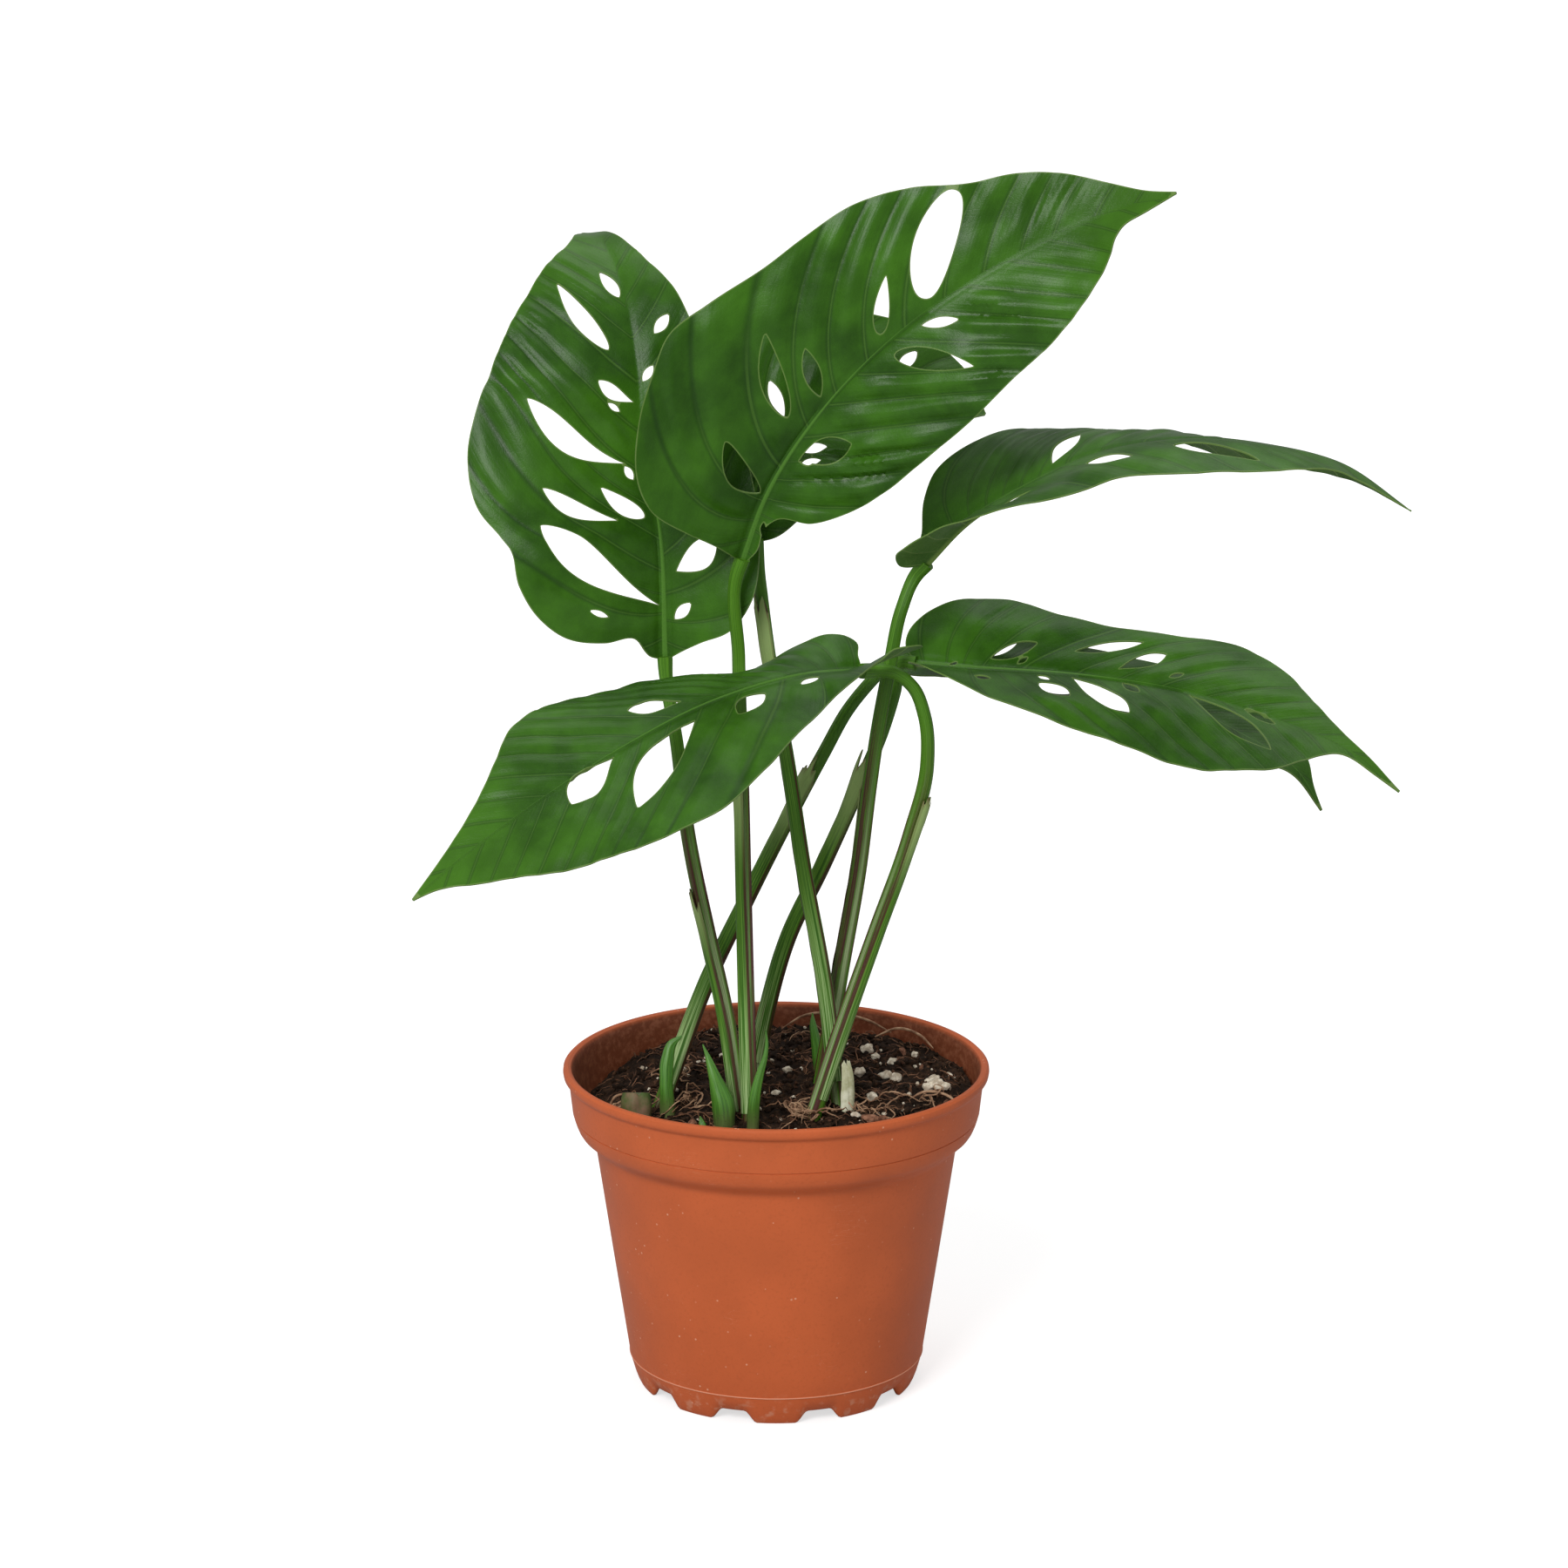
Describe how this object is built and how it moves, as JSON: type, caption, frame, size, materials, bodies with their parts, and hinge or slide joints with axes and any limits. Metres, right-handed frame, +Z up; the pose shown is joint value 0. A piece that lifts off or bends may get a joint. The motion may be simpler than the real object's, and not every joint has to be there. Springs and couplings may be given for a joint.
{
  "type": "potted monstera plant",
  "caption": "Young monstera with holed, heart-based leaves on tall channelled stalks, standing in a tapered plastic nursery pot of peat.",
  "frame": {"origin": "middle of the underside of the whole plant's box, level with the surface that the pot's feet stand on; the pot's own axis is 48.4 mm to the left of it (-X) and 15.2 mm behind it (+Y)", "axes": "+Z up along the pot's axis; +X to the right as seen from the front; +Y to the back, away from the forward leaf"},
  "size_m": [0.3396, 0.1948, 0.4421],
  "materials": {
    "pot_plastic": "satin, faintly scuffed, with pale specks",
    "soil": "damp crumbly peat, fully rough",
    "leaf": "smooth waxy upper side with a soft gloss, paler veins and margin",
    "petiole": "smooth satin, streaked with brown and purple",
    "shoot": "smooth satin, fresh bright green",
    "cut_stem": "green skin with a dry brown cut face",
    "dry_sheath": "dry, papery and whitish",
    "perlite": "chalky, fully rough",
    "bark": "dry and fibrous"
  },
  "bodies": {
    "root": {"pot": "pot_plastic", "potting_soil": "soil", "blade_back_left": "leaf", "petiole_back_left": "petiole", "blade_centre": "leaf", "petiole_centre": "petiole", "blade_front_left": "leaf", "petiole_front_left": "petiole", "blade_upper_right": "leaf", "petiole_upper_right": "petiole", "blade_lower_right": "leaf", "petiole_lower_right": "petiole", "blade_behind_centre": "leaf", "petiole_behind_centre": "petiole", "blade_under_right": "leaf", "petiole_under_right": "petiole", "shoot_green": "shoot", "shoot_bulbous": "shoot", "shoot_curled": "shoot", "shoot_sheathed": "shoot", "cut_stem_stub": "cut_stem", "torn_sheath": "dry_sheath", "perlite_1": "perlite", "perlite_2": "perlite", "perlite_3": "perlite", "perlite_4": "perlite", "perlite_5": "perlite", "bark_chip_1": "bark", "bark_chip_2": "bark"}
  },
  "joints": []
}
